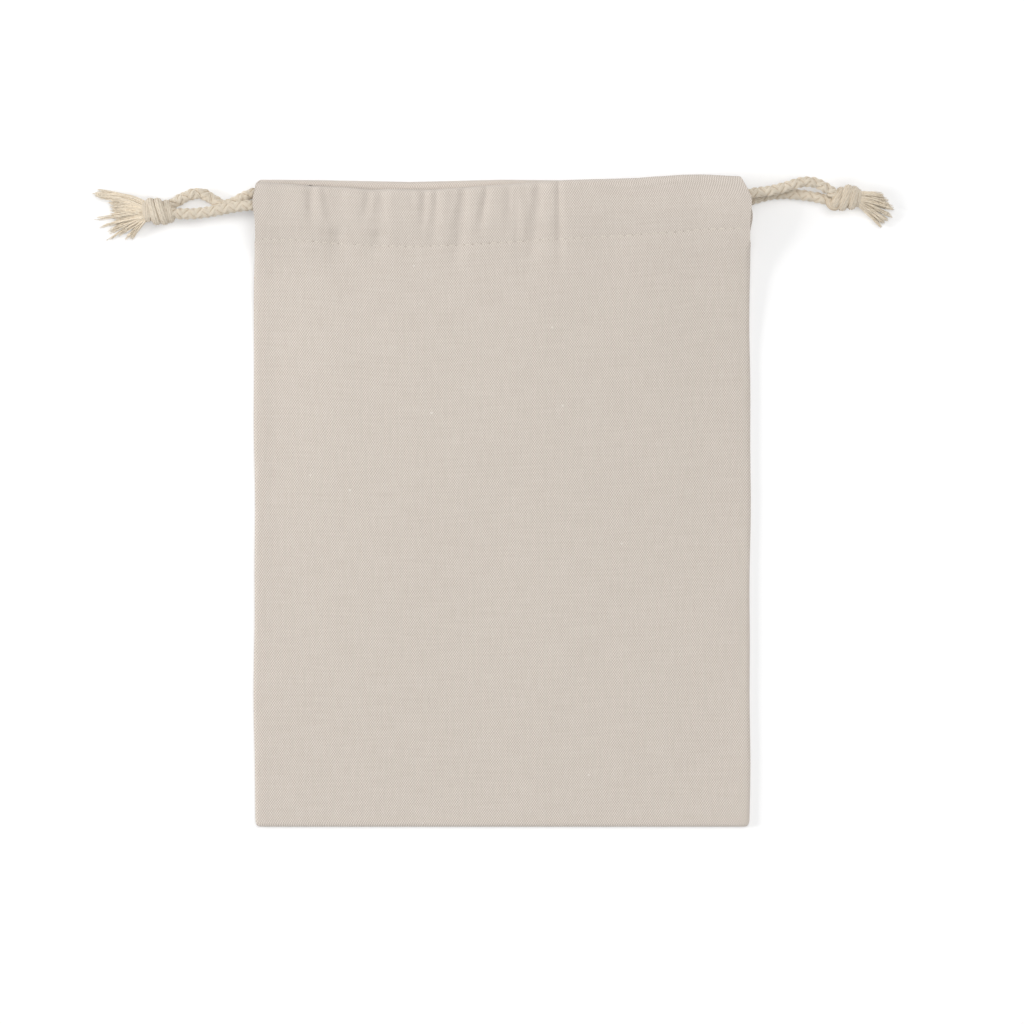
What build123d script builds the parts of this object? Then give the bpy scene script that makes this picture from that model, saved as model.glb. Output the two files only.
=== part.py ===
"""Cotton gift sack with two drawcords, lying flat on its back.

Units are millimetres. X runs across the sack, Y from its closed foot to its mouth and Z up from
the surface that it lies on. The origin is on that surface, under the middle of the sack.
"""
import os
from math import pi, radians, tan

from build123d import *

os.makedirs("parts", exist_ok=True)

# Cloth
sack_width = 200.0
sack_height = 260.0
cloth = 0.6
ply_gap = 0.1
corner_radius = 1.5

# Casing: the hem that the cords run in, one on each lip of the mouth
casing_depth = 24.0
slit_depth = 12.0
mouth_gap = 4.6
seam_line_gap = 0.2

# Side and foot seams, whose allowances lie inside the sack
seam_allowance = 8.0
seam_plies = 2

# The front panel stands proud of the back panel between its two shoulders. At the mouth its underside
# lies a little below the middle of the front casing, to which it is sewn.
shoulder_inset = 25.0
shoulder_radius = 60.0
panel_drop = 0.9
fullness_at_foot = 8.6
foot_slope = 40.0
foot_lift = 0.4

# Stitch rows
thread = 0.5
stitch_inset = 3.0
stitch_row_inset = 37.5

# Cords
cord_diameter = 4.0
cord_clearance = 0.3
upper_lane = 4.8
lane_spacing = 5.0
turn_inset = 2.8
turn_ease = 0.02
join_inset = 6.0
corner_share = 0.45

# Knots and tassels
knot_length = 12.4
knot_diameter = 10.6
knot_lift = 0.05
tassel_start = 5.0
tassel_root_width = 6.4
tassel_root_height = 5.6

# Levels and lines that follow from the sizes above
half_width = sack_width / 2
mouth_y = sack_height / 2
foot_y = -sack_height / 2
stitch_y = mouth_y - casing_depth
casing_y = mouth_y - casing_depth / 2
casing_rise = cord_diameter + 2 * cord_clearance + 2 * cloth
casing_end = half_width - slit_depth
back_lane_z = casing_rise / 2
front_casing_z = casing_rise + mouth_gap
front_lane_z = front_casing_z + casing_rise / 2
front_top_z = front_casing_z + casing_rise
upper_lane_y = mouth_y - upper_lane
lower_lane_y = upper_lane_y - lane_spacing
panel_top_y = stitch_y - seam_line_gap
panel_mouth_z = front_lane_z - panel_drop
seam_low_z = cloth + ply_gap
seam_high_z = seam_low_z + seam_plies * cloth
front_edge_z = seam_high_z + ply_gap
shoulder_x = half_width - shoulder_inset
join_x = half_width - join_inset
turn_x = half_width - turn_inset
knot_z = knot_diameter / 2 + knot_lift


def save(piece, name):
    """Label a finished piece and write it to its own file."""
    piece.part.label = name
    export_step(piece.part, f"parts/{name}.step")


def corner_radii(points):
    """Arc radius for each inner point: a share of the shorter run over the tangent of half the turn."""
    radii = []
    for before, here, after in zip(points, points[1:], points[2:]):
        run_in = Vector(*here) - Vector(*before)
        run_out = Vector(*after) - Vector(*here)
        half_turn = radians(run_in.get_angle(run_out)) / 2
        radii.append(corner_share * min(run_in.length, run_out.length) / tan(half_turn))
    return radii


def cord_tube(name, points):
    """A round cord along straight runs that are joined by tangent arcs."""
    radii = corner_radii(points)
    with BuildPart() as tube:
        with BuildLine() as route:
            FilletPolyline(*points, radius=radii)
        with BuildSketch(Plane(origin=route.line @ 0, z_dir=route.line % 0)):
            Circle(cord_diameter / 2)
        sweep()
    save(tube, name)
    length = sum(edge.length for edge in route.edges())
    section = pi * (cord_diameter / 2) ** 2
    print(f"{name}: length {length:.1f}, volume over section {tube.part.volume / section:.1f}")
    print(f"{name}: arc radii {', '.join(f'{radius:.1f}' for radius in radii)}")


def panel_profile(shoulder_z):
    """Closed outline of the front panel across the sack, with its two shoulders at one level."""
    for side in (0, cloth):
        FilletPolyline(
            (-half_width, front_edge_z + side),
            (-shoulder_x, shoulder_z + side),
            (shoulder_x, shoulder_z + side),
            (half_width, front_edge_z + side),
            radius=shoulder_radius,
        )
    for x in (-half_width, half_width):
        Line((x, front_edge_z), (x, front_edge_z + cloth))


# ---------------------------------------------------------------- cloth of the sack
with BuildPart() as back_panel:
    with BuildSketch():
        with Locations((0, (foot_y + panel_top_y) / 2)):
            Rectangle(sack_width, panel_top_y - foot_y)
    extrude(amount=cloth)
    fillet(back_panel.edges().filter_by(Axis.Z).group_by(Axis.Y)[0], corner_radius)
save(back_panel, "back_panel")

panel_stations = (
    (foot_y, front_edge_z + foot_lift),
    (foot_y + foot_slope, front_edge_z + fullness_at_foot),
    (panel_top_y, panel_mouth_z),
)
with BuildPart() as front_panel:
    for station_y, station_z in panel_stations:
        with BuildSketch(Plane.XZ.offset(-station_y)):
            with BuildLine():
                panel_profile(station_z)
            make_face()
    loft(ruled=True)
save(front_panel, "front_panel")

# ---------------------------------------------------------------- casings, open at both ends
for name, lane_z in (("back_casing", back_lane_z), ("front_casing", front_lane_z)):
    with BuildPart() as casing:
        with BuildSketch(Plane.YZ.offset(-casing_end)):
            with Locations((casing_y, lane_z)):
                SlotOverall(casing_depth, casing_rise)
                SlotOverall(casing_depth - 2 * cloth, casing_rise - 2 * cloth, mode=Mode.SUBTRACT)
        extrude(amount=2 * casing_end)
    save(casing, name)

# The outer ply alone runs on to the side edge, so that a cord can turn round inside the slit.
for side_name, side in (("left", -1), ("right", 1)):
    for lip, hem_z in (("back", 0), ("front", front_top_z - cloth)):
        with BuildPart() as slit_hem:
            with BuildSketch(Plane.XY.offset(hem_z)):
                with Locations((side * (casing_end + slit_depth / 2), casing_y)):
                    Rectangle(slit_depth, casing_depth - casing_rise)
            extrude(amount=cloth)
            outer_edges = slit_hem.edges().filter_by(Axis.Z).group_by(Axis.X)[-1 if side > 0 else 0]
            fillet(outer_edges, corner_radius)
        save(slit_hem, f"{side_name}_{lip}_slit_hem")

# ---------------------------------------------------------------- stitch rows under the casings
for name, row_z in (
    ("back_casing_stitching", cloth),
    ("front_casing_stitching", panel_mouth_z + cloth),
):
    with BuildPart() as stitching:
        with BuildSketch(Plane.XY.offset(row_z)):
            with Locations((0, panel_top_y - stitch_inset)):
                Rectangle(sack_width - 2 * stitch_row_inset, thread)
        extrude(amount=thread)
    save(stitching, name)

# ---------------------------------------------------------------- seam allowances inside the sack
for side_name, side in (("left", -1), ("right", 1)):
    with BuildPart() as side_seam:
        with BuildSketch(Plane.XY.offset(seam_low_z)):
            with Locations((side * (half_width - seam_allowance / 2), (foot_y + panel_top_y) / 2)):
                Rectangle(seam_allowance, panel_top_y - foot_y)
        extrude(amount=seam_high_z - seam_low_z)
    save(side_seam, f"{side_name}_side_seam")

with BuildPart() as foot_seam:
    with BuildSketch(Plane.XY.offset(seam_low_z)):
        with Locations((0, foot_y + seam_allowance / 2)):
            Rectangle(sack_width - 2 * seam_allowance - 2 * ply_gap, seam_allowance)
    extrude(amount=seam_high_z - seam_low_z)
save(foot_seam, "foot_seam")


# ---------------------------------------------------------------- cords inside the casings
def loop_points(side, front_y, back_y):
    """Route of one cord: in at one side, through the front casing, round, and back out below."""
    return [
        (side * join_x, front_y, front_lane_z),
        (side * 72.0, front_y, front_lane_z),
        (side * 36.0, front_y + 0.4, front_lane_z),
        (side * -2.0, front_y - 0.4, front_lane_z),
        (side * -40.0, front_y + 0.3, front_lane_z),
        (side * -72.0, front_y, front_lane_z),
        (side * -turn_x, front_y, front_lane_z - turn_ease),
        (side * -turn_x, back_y, back_lane_z + turn_ease),
        (side * -72.0, back_y, back_lane_z),
        (side * -40.0, back_y - 0.3, back_lane_z),
        (side * -2.0, back_y + 0.4, back_lane_z),
        (side * 36.0, back_y - 0.4, back_lane_z),
        (side * 72.0, back_y, back_lane_z),
        (side * join_x, back_y, back_lane_z),
    ]


cord_tube("left_cord_loop", loop_points(-1, lower_lane_y, upper_lane_y))
cord_tube("right_cord_loop", loop_points(1, upper_lane_y, lower_lane_y))


# ---------------------------------------------------------------- free ends, from the slits to the knots
def free_end(name, side, lane, straight, points):
    """Cord from its lane to the knot. Points count out past the side edge, up from the mouth, and z."""
    lane_y, lane_z = lane
    start = (side * join_x, lane_y, lane_z)
    leave = (side * (half_width + straight), lane_y, lane_z)
    cord_tube(name, [start, leave] + [(side * (half_width + out), mouth_y + up, z) for out, up, z in points])


free_end("left_front_cord_end", -1, (lower_lane_y, front_lane_z), 0.4, [
    (7.6, -10.6, 11.6),
    (14.6, -12.4, 9.6),
    (21.6, -13.8, 8.0),
    (28.4, -14.3, 7.0),
    (34.6, -14.1, 6.6),
])
free_end("left_back_cord_end", -1, (upper_lane_y, back_lane_z), 1.0, [
    (7.2, -8.2, 2.4),
    (12.8, -10.8, 2.2),
    (17.6, -7.4, 2.3),
    (22.8, -4.2, 2.6),
    (28.6, -6.0, 3.2),
    (34.6, -10.1, 4.0),
])
free_end("right_front_cord_end", 1, (upper_lane_y, front_lane_z), 0.4, [
    (7.4, -4.0, 11.6),
    (14.2, -1.8, 9.9),
    (21.2, 0.8, 8.6),
    (28.6, -0.6, 7.6),
    (35.6, -5.0, 6.9),
])
free_end("right_back_cord_end", 1, (lower_lane_y, back_lane_z), 0.2, [
    (6.8, -7.2, 2.4),
    (13.8, -5.8, 2.2),
    (21.0, -6.0, 2.3),
    (28.2, -7.2, 3.0),
    (35.4, -8.8, 4.0),
])

# ---------------------------------------------------------------- knots and tassels
# A knot's middle lies this far out past the side edge and up from the mouth. Each tassel runs out
# from its knot; its stations give the distance from the knot's middle, the sideways shift, and the
# fan's width and height there.
tassels = {
    "left": (-1, (38.6, -12.4), ((13.0, -0.2, 13.0, 5.0), (24.6, -1.4, 19.0, 4.4))),
    "right": (1, (40.0, -7.2), ((11.0, -1.0, 11.0, 5.0), (19.0, -2.6, 15.0, 4.4))),
}
for side_name, (side, (knot_out, knot_up), stations) in tassels.items():
    knot_x = side * (half_width + knot_out)
    knot_y = mouth_y + knot_up
    with BuildPart() as knot:
        with BuildSketch(Plane.XY.offset(knot_z)):
            with Locations((knot_x, knot_y)):
                Ellipse(knot_length / 2, knot_diameter / 2)
            with Locations((knot_x, knot_y - knot_diameter / 2)):
                Rectangle(knot_length, knot_diameter, mode=Mode.SUBTRACT)
        revolve(axis=Axis((knot_x, knot_y, knot_z), (1, 0, 0)))
    save(knot, f"{side_name}_knot")

    with BuildPart() as tassel:
        with BuildSketch(Plane.YZ.offset(knot_x + side * tassel_start)):
            with Locations((knot_y, knot_z)):
                Ellipse(tassel_root_width / 2, tassel_root_height / 2)
        for reach, shift, fan_width, fan_height in stations:
            with BuildSketch(Plane.YZ.offset(knot_x + side * reach)):
                with Locations((knot_y + shift, fan_height / 2 + knot_lift)):
                    Ellipse(fan_width / 2, fan_height / 2)
        loft(ruled=True)
    save(tassel, f"{side_name}_tassel")
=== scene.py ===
"""Cotton gift sack with two knotted drawcords, lying flat on its back.

Sizes are written in millimetres, as the part's own source gives them, and become metres when a
mesh is laid. X runs across the sack, Y from its foot to its mouth and Z up from the surface.
"""
import logging
import math
import random
from dataclasses import dataclass, field
from enum import Enum
from typing import Callable

import bmesh
import bpy
import numpy as np
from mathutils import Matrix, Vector, noise


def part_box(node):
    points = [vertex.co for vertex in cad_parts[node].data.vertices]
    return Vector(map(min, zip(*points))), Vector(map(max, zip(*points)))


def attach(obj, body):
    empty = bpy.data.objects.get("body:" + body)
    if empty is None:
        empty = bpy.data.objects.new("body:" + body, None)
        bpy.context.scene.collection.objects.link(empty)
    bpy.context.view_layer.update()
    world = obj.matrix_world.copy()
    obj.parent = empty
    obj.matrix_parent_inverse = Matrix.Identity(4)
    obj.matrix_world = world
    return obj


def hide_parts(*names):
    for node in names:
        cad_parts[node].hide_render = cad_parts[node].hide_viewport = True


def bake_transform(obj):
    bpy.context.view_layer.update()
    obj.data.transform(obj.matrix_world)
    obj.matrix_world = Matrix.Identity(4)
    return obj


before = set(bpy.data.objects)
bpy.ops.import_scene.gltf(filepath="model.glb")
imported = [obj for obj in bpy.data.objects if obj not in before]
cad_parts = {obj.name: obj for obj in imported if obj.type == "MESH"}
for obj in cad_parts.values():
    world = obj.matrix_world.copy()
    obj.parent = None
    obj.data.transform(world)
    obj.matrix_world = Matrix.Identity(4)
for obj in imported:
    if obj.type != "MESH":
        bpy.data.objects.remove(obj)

log = logging.getLogger("gift_sack")
MM = 0.001
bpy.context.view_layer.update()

STITCH_PITCH = 3.4
OVERLOCK_PITCH = 1.3
PLY_SIDES = 12
PLY_LEVELS = (0.95, 0.95 + 0.62)
PLY_HALF = 0.27
EDGE_STATIONS = np.array([0.0, 0.06, 0.2, 0.45, 0.8, 1.25])

Point = tuple[float, float, float]
Colour = tuple[float, float, float]
Lock = tuple[float, float, float, float, int]
Place = Callable[[int, int], Point]
Chart = Callable[[int, int], tuple[float, float]]
Socket = bpy.types.NodeSocket


class Side(Enum):
    """Which side of the sack a cord hangs out of; the value is its direction along X."""

    LEFT = -1
    RIGHT = 1

    @property
    def word(self) -> str:
        """The side's name in lower case, as the nodes are named."""
        return self.name.lower()


class Lip(Enum):
    """The two layers of the mouth."""

    FRONT = "front"
    BACK = "back"


def smooth(low: float, high: float, value: float) -> float:
    """Smoothstep of value between low and high.

    Args:
        low: Where the step starts.
        high: Where the step ends.
        value: The number to place between them.

    Returns:
        0 below low, 1 above high, and a smooth rise between.
    """
    share = min(1.0, max(0.0, (value - low) / (high - low)))
    return share * share * (3 - 2 * share)


def through(knots: list[tuple[float, float]], x: float) -> float:
    """Height at x of a smooth line through a few (x, y) knots.

    Args:
        knots: Points of the line, in rising x.
        x: Where to read it.

    Returns:
        The line's y, held level past its ends.
    """
    if x <= knots[0][0]:
        return knots[0][1]
    for (x0, y0), (x1, y1) in zip(knots, knots[1:]):
        if x <= x1:
            return y0 + (y1 - y0) * smooth(x0, x1, x) * 0.5 + (y1 - y0) * (x - x0) / (x1 - x0) * 0.5
    return knots[-1][1]


def squared(wave: float, power: float) -> float:
    """A sine or cosine pushed out towards 1 or -1, with its sign kept."""
    return math.copysign(abs(wave) ** power, wave)


# ------------------------------------------------------------------------------- meshes
@dataclass
class Loom:
    """Collects bmesh grids that are bent into cloth, strands and wraps, and makes one piece of them."""

    name: str
    mesh: bmesh.types.BMesh = field(default_factory=bmesh.new)
    ink: int = 0

    def lay(self, columns: int, rows: int, place: Place, chart: Chart) -> None:
        """Adds a grid and moves its vertices.

        Args:
            columns: Faces across.
            rows: Faces along.
            place: Gives the point in millimetres for column and row numbers.
            chart: Gives the texture coordinates for column and row numbers.
        """
        layer = self.mesh.loops.layers.uv.get("UVMap") or self.mesh.loops.layers.uv.new("UVMap")
        made = bmesh.ops.create_grid(self.mesh, x_segments=columns, y_segments=rows, size=1.0)["verts"]
        for vertex in made:
            column = round((vertex.co.x + 1) / 2 * columns)
            row = round((vertex.co.y + 1) / 2 * rows)
            spot = chart(column, row)
            for loop in vertex.link_loops:
                loop[layer].uv = spot
                loop.face.material_index = self.ink
            vertex.co = Vector(place(column, row)) * MM

    def tube(self, line: np.ndarray, radii: np.ndarray, sides: int, flat: float = 1.0,
             face: np.ndarray | None = None) -> None:
        """Adds a closed tube round a line, drawn together at both ends.

        Args:
            line: Points of the centreline in millimetres, one per row.
            radii: Half width at each point.
            sides: Faces round the tube.
            flat: Thickness of the section over its width.
            face: Direction that the flat side faces at each point, or None for a round tube.
        """
        ahead, across, up = carried_frames(line)
        if face is not None:
            up = face - ahead * (face * ahead).sum(axis=1)[:, None]
            up /= np.linalg.norm(up, axis=1)[:, None]
            across = np.cross(up, ahead)
        steps = np.concatenate([[0.0], np.cumsum(np.linalg.norm(np.diff(line, axis=0), axis=1))])
        last = len(line) - 1

        def place(column: int, row: int) -> Point:
            """A point on the tube, whose first and last rows close its ends.

            Args:
                column: Face round the tube.
                row: Row along it.

            Returns:
                The point in millimetres.
            """
            at = min(max(row - 1, 0), last)
            radius = 0.0 if row in (0, last + 2) else radii[at]
            turn = 2 * math.pi * column / sides
            return tuple(line[at] + radius * (math.cos(turn) * across[at] + flat * math.sin(turn) * up[at]))

        def chart(column: int, row: int) -> tuple[float, float]:
            """Round the tube, and along it in centimetres."""
            return column / sides, steps[min(max(row - 1, 0), last)] / 10

        self.lay(sides, last + 2, place, chart)

    def rope(self, line: np.ndarray, radii: np.ndarray, yarns: int, twist: float) -> None:
        """Adds a soft cord whose outside shows its yarns side by side.

        Args:
            line: Points of the centreline in millimetres.
            radii: Radius of the whole cord at each point.
            yarns: Yarns round it.
            twist: Turns of the yarns along the line.
        """
        _, across, up = carried_frames(line)
        share = np.linspace(0, 1, len(line))
        for number in range(yarns):
            turn = 2 * math.pi * (number / yarns + twist * share)
            offset = np.cos(turn)[:, None] * across + np.sin(turn)[:, None] * up
            self.tube(line + offset * (radii * 0.80)[:, None], radii * 2.3 / yarns, 6)
        self.tube(line, radii * 0.90, 10)

    def finish(self, cloth: float = 0.0) -> bpy.types.Object:
        """Closes what meets, turns the faces outwards and links the piece.

        Args:
            cloth: Thickness in millimetres that an open sheet is given, or 0 for closed shapes.

        Returns:
            The new object, at the origin.
        """
        bmesh.ops.remove_doubles(self.mesh, verts=self.mesh.verts, dist=1e-7)
        bmesh.ops.recalc_face_normals(self.mesh, faces=self.mesh.faces)
        data = bpy.data.meshes.new(self.name)
        self.mesh.to_mesh(data)
        self.mesh.free()
        piece = bpy.data.objects.new(self.name, data)
        bpy.context.scene.collection.objects.link(piece)
        if cloth:
            ply = piece.modifiers.new("Ply", "SOLIDIFY")
            ply.thickness = cloth * MM
            ply.offset = 0.0
            ply.use_even_offset = True
            bpy.context.view_layer.update()
            thick = piece.evaluated_get(bpy.context.evaluated_depsgraph_get())
            solid = bpy.data.meshes.new_from_object(thick)
            piece.modifiers.clear()
            piece.data = solid
            bpy.data.meshes.remove(data)
            solid.name = self.name
        piece.data.polygons.foreach_set("use_smooth", [True] * len(piece.data.polygons))
        piece.data.update()
        return piece


def carried_frames(line: np.ndarray) -> tuple[np.ndarray, np.ndarray, np.ndarray]:
    """Directions that follow a line without spinning about it.

    Args:
        line: Points of the line, one per row.

    Returns:
        Unit vectors ahead, across and up at each point.
    """
    ahead = np.gradient(line, axis=0)
    ahead /= np.linalg.norm(ahead, axis=1)[:, None]
    start = np.array([0.0, 0.0, 1.0]) if abs(ahead[0][2]) < 0.9 else np.array([0.0, 1.0, 0.0])
    up = np.zeros_like(line)
    for index, direction in enumerate(ahead):
        start = start - direction * (direction @ start)
        start = start / np.linalg.norm(start)
        up[index] = start
    return ahead, np.cross(up, ahead), up


# ------------------------------------------------------------------------------- finishes
class Nodes:
    """A material's node tree, with short calls for the few kinds of node that the finishes use."""

    def __init__(self, name: str) -> None:
        """Makes an empty principled material.

        Args:
            name: The material's name.
        """
        self.material = bpy.data.materials.new(name)
        self.material.use_nodes = True
        self.tree = self.material.node_tree
        self.shader = self.tree.nodes["Principled BSDF"]

    def add(self, kind: str, **values: object) -> bpy.types.Node:
        """Adds a node and sets its properties.

        Args:
            kind: The node's type name.
            **values: Its properties.

        Returns:
            The node.
        """
        node = self.tree.nodes.new(kind)
        for key, value in values.items():
            setattr(node, key, value)
        return node

    def wire(self, source: object, target: bpy.types.NodeSocket) -> None:
        """Links a socket to the target, or sets a plain value on it.

        Args:
            source: A socket, or a value.
            target: The input that it goes to.
        """
        if isinstance(source, bpy.types.NodeSocket):
            self.tree.links.new(source, target)
        else:
            target.default_value = source

    def math(self, operation: str, first: object, second: object = 0.0, clamp: bool = False) -> Socket:
        """Adds one Math node.

        Args:
            operation: The node's operation.
            first: A socket or a number.
            second: Another socket or number.
            clamp: Whether the result is kept between 0 and 1.

        Returns:
            The result.
        """
        node = self.add("ShaderNodeMath", operation=operation, use_clamp=clamp)
        self.wire(first, node.inputs[0])
        self.wire(second, node.inputs[1])
        return node.outputs[0]

    def chart(self) -> tuple[Socket, Socket, Socket]:
        """The piece's own texture coordinates.

        Returns:
            Across, along, and both as a vector.
        """
        spots = self.add("ShaderNodeUVMap", uv_map="UVMap")
        split = self.add("ShaderNodeSeparateXYZ")
        self.wire(spots.outputs[0], split.inputs[0])
        return split.outputs[0], split.outputs[1], spots.outputs[0]

    def place(self) -> Socket:
        """Object coordinates."""
        return self.add("ShaderNodeTexCoord").outputs["Object"]

    def grain(self, vector: object, scale: float, detail: float = 2.0, rough: float = 0.5,
              stretch: Point = (1.0, 1.0, 1.0)) -> Socket:
        """Noise between 0 and 1.

        Args:
            vector: The coordinates that it is read at.
            scale: How fine it is.
            detail: How many finer layers it has.
            rough: How strong the finer layers are.
            stretch: Scale of each axis.

        Returns:
            The noise.
        """
        mapping = self.add("ShaderNodeMapping")
        self.wire(vector, mapping.inputs["Vector"])
        mapping.inputs["Scale"].default_value = stretch
        node = self.add("ShaderNodeTexNoise")
        self.wire(mapping.outputs[0], node.inputs["Vector"])
        node.inputs["Scale"].default_value = scale
        node.inputs["Detail"].default_value = detail
        node.inputs["Roughness"].default_value = rough
        return node.outputs[0]

    def tint(self, factor: object, dark: Colour, light: Colour) -> Socket:
        """Colour between two others.

        Args:
            factor: Where it lies between them.
            dark: The colour at 0.
            light: The colour at 1.

        Returns:
            The colour.
        """
        node = self.add("ShaderNodeMix", data_type="RGBA")
        self.wire(factor, node.inputs["Factor"])
        node.inputs["A"].default_value = (*dark, 1)
        node.inputs["B"].default_value = (*light, 1)
        return node.outputs["Result"]

    def over(self, factor: object, under: Socket, paint: Colour) -> Socket:
        """Lays paint over a colour.

        Args:
            factor: How far the paint covers, from 0 to 1.
            under: The colour below.
            paint: The colour on top.

        Returns:
            The colour that shows.
        """
        node = self.add("ShaderNodeMix", data_type="RGBA")
        self.wire(factor, node.inputs["Factor"])
        self.wire(under, node.inputs["A"])
        node.inputs["B"].default_value = (*paint, 1)
        return node.outputs["Result"]

    def specks(self, vector: Socket, scale: float, radius: float) -> Socket:
        """Scattered dots.

        Args:
            vector: The coordinates that they are laid out in.
            scale: How close together they are.
            radius: Their radius, as a share of their spacing.

        Returns:
            1 in a dot and 0 elsewhere.
        """
        node = self.add("ShaderNodeTexVoronoi")
        self.wire(vector, node.inputs["Vector"])
        node.inputs["Scale"].default_value = scale
        return self.math("LESS_THAN", node.outputs["Distance"], radius)

    def bump(self, height: Socket, distance: float, strength: float = 1.0) -> None:
        """Raises the surface by a height.

        Args:
            height: The height, between 0 and 1.
            distance: How far 1 raises it, in metres.
            strength: How much of the bump shows.
        """
        node = self.add("ShaderNodeBump")
        node.inputs["Strength"].default_value = strength
        node.inputs["Distance"].default_value = distance
        self.wire(height, node.inputs["Height"])
        self.wire(node.outputs[0], self.shader.inputs["Normal"])


@dataclass(frozen=True)
class TwillFinish:
    """Undyed cotton twill. Chart coordinates are in millimetres of flat cloth."""

    dark: Colour = (0.286, 0.222, 0.174)
    light: Colour = (0.832, 0.776, 0.714)
    # The next colour is painted shade for the needle holes of the stitch row.
    hole_shade: Colour = (0.26, 0.21, 0.16)
    lint: Colour = (0.86, 0.84, 0.80)
    husk: Colour = (0.50, 0.36, 0.24)
    rib_across: float = 0.94
    rib_along: float = 1.30
    counter_rib: float = 0.75
    bump_height: float = 0.00011
    stitch_row: float = 236.0
    hole: float = 0.32

    def make(self, name: str) -> bpy.types.Material:
        """Builds the material.

        Args:
            name: The material's name.

        Returns:
            The cloth material.
        """
        nodes = Nodes(name)
        across, along, both = nodes.chart()
        turn = 2 * math.pi
        column = nodes.math("MULTIPLY", across, turn / self.rib_across)
        row = nodes.math("MULTIPLY", along, turn / self.rib_along)
        wander = nodes.math("MULTIPLY", nodes.grain(both, 0.22, 2.0), 5.0)
        rib = nodes.math("SINE", nodes.math("ADD", nodes.math("SUBTRACT", column, row), wander))
        drift = nodes.math("MULTIPLY", nodes.grain(both, 0.45, 1.0), 4.0)
        counter = nodes.math("SINE", nodes.math("ADD", nodes.math("ADD", column, row), drift))
        lattice = nodes.math("ADD", rib, nodes.math("MULTIPLY", counter, self.counter_rib))
        lattice = nodes.math("ADD", nodes.math("MULTIPLY", lattice, 0.5 / (1 + self.counter_rib)), 0.5)
        warp_yarn = nodes.grain(both, 1.1, 2.0, 0.6, (1.0, 0.10, 1.0))
        weft_yarn = nodes.grain(both, 0.9, 2.0, 0.6, (0.08, 1.0, 1.0))
        yarn = nodes.math("MULTIPLY", nodes.math("ADD", warp_yarn, weft_yarn), 0.5)
        fuzz = nodes.grain(both, 2.6, 3.0, 0.7)
        tone = nodes.math("ADD", nodes.math("MULTIPLY", lattice, 0.62), nodes.math("MULTIPLY", yarn, 0.26))
        tone = nodes.math("ADD", tone, nodes.math("MULTIPLY", fuzz, 0.34))
        tone = nodes.math("SUBTRACT", tone, 0.06, clamp=True)
        colour = nodes.tint(tone, self.dark, self.light)
        # Painted shade: dark dots at the needle holes of the stitch row, faded at random along it.
        step = nodes.math("SUBTRACT", nodes.math("FRACT", nodes.math("DIVIDE", across, STITCH_PITCH)), 0.5)
        beside = nodes.math("POWER", nodes.math("MULTIPLY", step, STITCH_PITCH), 2.0)
        beyond = nodes.math("POWER", nodes.math("SUBTRACT", along, self.stitch_row), 2.0)
        hole_shade_fade = nodes.math("MULTIPLY", nodes.grain(both, 0.16, 1.0), 1.3)
        hole_shade_fade = nodes.math("SUBTRACT", hole_shade_fade, 0.36, clamp=True)
        hole_shade_mask = nodes.math("LESS_THAN", nodes.math("ADD", beside, beyond), self.hole * self.hole)
        colour = nodes.over(nodes.math("MULTIPLY", hole_shade_mask, hole_shade_fade), colour, self.hole_shade)
        for paint, scale, radius, cover in ((self.lint, 0.055, 0.028, 0.35), (self.husk, 0.034, 0.016, 0.5)):
            speck = nodes.specks(both, scale, radius)
            colour = nodes.over(nodes.math("MULTIPLY", speck, cover), colour, paint)
        nodes.wire(colour, nodes.shader.inputs["Base Color"])
        nodes.shader.inputs["Roughness"].default_value = 0.93
        nodes.shader.inputs["Specular IOR Level"].default_value = 0.18
        nodes.shader.inputs["Sheen Weight"].default_value = 0.12
        nodes.shader.inputs["Sheen Roughness"].default_value = 0.6
        height = nodes.math("ADD", nodes.math("MULTIPLY", lattice, 0.6), nodes.math("MULTIPLY", yarn, 0.4))
        nodes.bump(height, self.bump_height, 0.8)
        return nodes.material


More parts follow.
